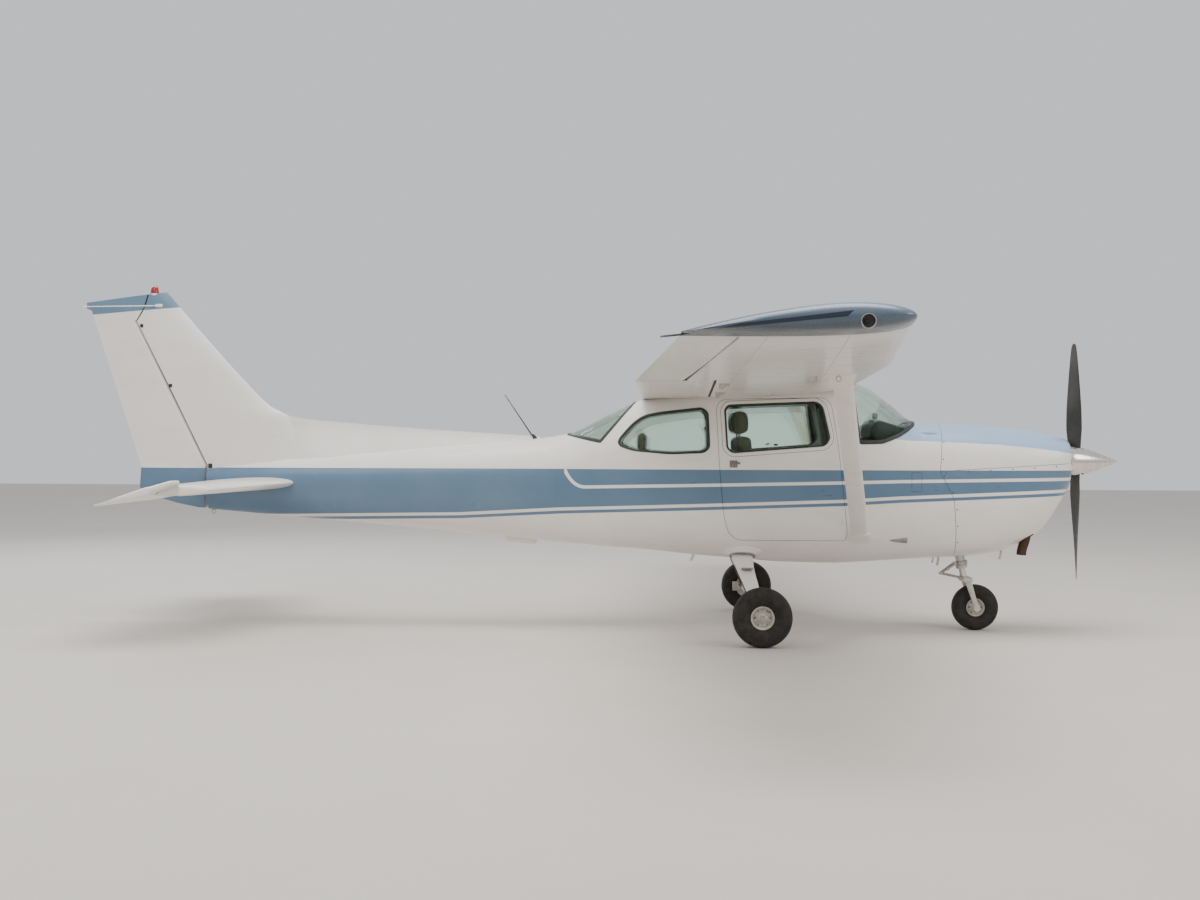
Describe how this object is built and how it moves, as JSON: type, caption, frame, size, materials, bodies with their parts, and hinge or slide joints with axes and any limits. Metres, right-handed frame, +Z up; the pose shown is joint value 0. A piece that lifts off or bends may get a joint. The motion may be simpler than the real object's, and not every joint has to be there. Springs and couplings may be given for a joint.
{
  "type": "light aircraft",
  "caption": "High-wing light aircraft with a braced wing, tricycle landing gear, cabin doors, hinged control surfaces and a propeller.",
  "frame": {"origin": "on the ground, under the middle of the overall box (halfway from spinner tip to rudder cap, on the centre line)", "axes": "+X forward to the nose, +Y to the left wing tip, +Z up"},
  "size_m": [8.129, 10.97, 2.68],
  "materials": {
    "painted_skin": "satin",
    "wheel_paint": "satin",
    "tip_fairing": "gloss",
    "window_glass": "gloss",
    "tyre_rubber": "matte",
    "bare_aluminium": "satin",
    "polished_metal": "polished",
    "gear_steel": "satin",
    "blade_paint": "satin",
    "engine_casting": "matte",
    "exhaust_steel": "matte",
    "panel_plastic": "matte",
    "antenna_plastic": "satin",
    "beacon_lens": "gloss",
    "carpet": "matte",
    "seat_cloth": "matte"
  },
  "bodies": {
    "airframe": {"cabin_shell": "painted_skin", "tailcone": "painted_skin", "rear_bulkhead": "bare_aluminium", "firewall": "bare_aluminium", "cabin_floor": "carpet", "upper_cowl": "painted_skin", "lower_cowl": "painted_skin", "engine_block": "engine_casting", "exhaust_pipe": "exhaust_steel", "instrument_panel": "panel_plastic", "windshield": "window_glass", "rear_window": "window_glass", "left_rear_glass": "window_glass", "right_rear_glass": "window_glass", "left_wing": "painted_skin", "right_wing": "painted_skin", "left_wing_tip": "tip_fairing", "right_wing_tip": "tip_fairing", "left_strut": "painted_skin", "right_strut": "painted_skin", "fin": "painted_skin", "left_stabilizer": "painted_skin", "right_stabilizer": "painted_skin", "beacon": "beacon_lens", "radio_mast": "panel_plastic", "belly_antenna": "antenna_plastic", "left_gear_leg": "painted_skin", "right_gear_leg": "painted_skin", "left_axle": "gear_steel", "right_axle": "gear_steel", "nose_barrel": "gear_steel", "left_seat": "seat_cloth", "right_seat": "seat_cloth", "rear_seat": "seat_cloth", "left_yoke": "panel_plastic", "right_yoke": "panel_plastic"},
    "propeller": {"propeller": "blade_paint", "spinner": "polished_metal"},
    "nose_steering": {"nose_fork": "painted_skin", "torque_links": "gear_steel"},
    "nose_wheel": {"nose_rim": "wheel_paint", "nose_tyre": "tyre_rubber"},
    "left_main_wheel": {"left_main_rim": "wheel_paint", "left_main_tyre": "tyre_rubber"},
    "right_main_wheel": {"right_main_rim": "wheel_paint", "right_main_tyre": "tyre_rubber"},
    "left_door": {"left_door": "painted_skin", "left_door_glass": "window_glass"},
    "right_door": {"right_door": "painted_skin", "right_door_glass": "window_glass"},
    "baggage_door": {"baggage_door": "painted_skin"},
    "left_aileron": {"left_aileron": "painted_skin"},
    "right_aileron": {"right_aileron": "painted_skin"},
    "left_flap": {"left_flap": "painted_skin"},
    "right_flap": {"right_flap": "painted_skin"},
    "elevator": {"elevator": "painted_skin"},
    "rudder": {"rudder": "painted_skin"}
  },
  "joints": [
    {"name": "propeller_spin", "type": "hinge", "parent": "airframe", "child": "propeller", "pos_m": [3.7395, 0, 1.307], "axis": [1, 0, 0], "continuous": true},
    {"name": "nose_steering", "type": "hinge", "parent": "airframe", "child": "nose_steering", "pos_m": [2.9395, 0, 0.176], "axis": [-0.1802, 0, 0.9836], "range_deg": [-30, 30]},
    {"name": "nose_wheel_spin", "type": "hinge", "parent": "nose_steering", "child": "nose_wheel", "pos_m": [2.9825, 0, 0.176], "axis": [0, 1, 0], "continuous": true},
    {"name": "left_main_wheel_spin", "type": "hinge", "parent": "airframe", "child": "left_main_wheel", "pos_m": [1.2825, 1.2765, 0.212], "axis": [0, 1, 0], "continuous": true},
    {"name": "left_door_hinge", "type": "hinge", "parent": "airframe", "child": "left_door", "pos_m": [1.9635, 0.545, 1.15], "axis": [0, 0, -1], "range_deg": [0, 70]},
    {"name": "left_aileron_hinge", "type": "hinge", "parent": "airframe", "child": "left_aileron", "pos_m": [0.6975, 2.572, 1.8795], "axis": [0.0926, 0.9947, 0.0451], "range_deg": [-15, 20]},
    {"name": "left_flap_hinge", "type": "hinge", "parent": "airframe", "child": "left_flap", "pos_m": [0.8591, 0.622, 1.7144], "axis": [0.0014, -0.9996, -0.0299], "range_deg": [0, 40]},
    {"name": "right_main_wheel_spin", "type": "hinge", "parent": "airframe", "child": "right_main_wheel", "pos_m": [1.2825, -1.2765, 0.212], "axis": [0, 1, 0], "continuous": true},
    {"name": "right_door_hinge", "type": "hinge", "parent": "airframe", "child": "right_door", "pos_m": [1.9635, -0.545, 1.15], "axis": [0, 0, 1], "range_deg": [0, 70]},
    {"name": "right_aileron_hinge", "type": "hinge", "parent": "airframe", "child": "right_aileron", "pos_m": [0.6975, -2.572, 1.8795], "axis": [-0.0926, 0.9947, -0.0451], "range_deg": [-15, 20]},
    {"name": "right_flap_hinge", "type": "hinge", "parent": "airframe", "child": "right_flap", "pos_m": [0.8591, -0.622, 1.7144], "axis": [-0.0014, -0.9996, 0.0299], "range_deg": [0, 40]},
    {"name": "baggage_door_hinge", "type": "hinge", "parent": "airframe", "child": "baggage_door", "pos_m": [0.6485, 0.512, 1.07], "axis": [0, 0, -1], "range_deg": [0, 90]},
    {"name": "elevator_hinge", "type": "hinge", "parent": "airframe", "child": "elevator", "pos_m": [-3.0235, 0, 1.088], "axis": [0, 1, 0], "range_deg": [-9.5, 41.5]},
    {"name": "rudder_hinge", "type": "hinge", "parent": "airframe", "child": "rudder", "pos_m": [-3.0915, 0, 1.223], "axis": [-0.4472, 0, 0.8944], "range_deg": [-17.7, 17.7]}
  ],
  "couplings": [
    {"joint": "right_flap_hinge", "follows": "left_flap_hinge", "ratio": 1}
  ]
}
